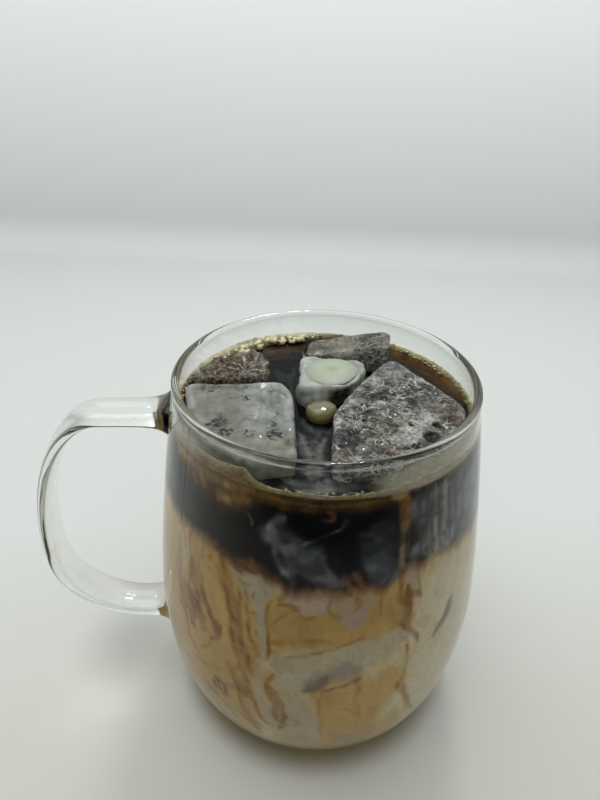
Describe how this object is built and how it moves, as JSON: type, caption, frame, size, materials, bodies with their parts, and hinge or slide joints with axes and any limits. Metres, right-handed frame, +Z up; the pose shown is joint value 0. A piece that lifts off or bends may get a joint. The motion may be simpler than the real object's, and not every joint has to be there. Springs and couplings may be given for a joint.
{
  "type": "iced coffee in a glass mug",
  "caption": "Barrel-shaped clear glass mug with a strap handle, full of layered black and milky iced coffee with ice blocks, froth and a pool of milk on top.",
  "frame": {"origin": "centre of the flat foot that the mug stands on", "axes": "+Z up along the mug's axis, -X towards the handle"},
  "size_m": [0.1311, 0.0962, 0.1126],
  "materials": {
    "clear_glass": "clear polished glass",
    "black_coffee": "dark wet drink",
    "milky_coffee": "milky drink with brown and cream swirls",
    "froth": "wet bubbly froth",
    "ice": "cloudy melting ice",
    "thick_milk": "smooth thick milk",
    "cream": "wet beige cream"
  },
  "bodies": {
    "root": {"glass_mug": "clear_glass", "coffee_layer": "black_coffee", "milk_layer": "milky_coffee", "foam_ring": "froth", "ice_front_left": "ice", "ice_back_left": "ice", "ice_back": "ice", "ice_right": "ice", "ice_centre": "ice", "milk_pool": "thick_milk", "cream_drop": "cream"}
  },
  "joints": []
}
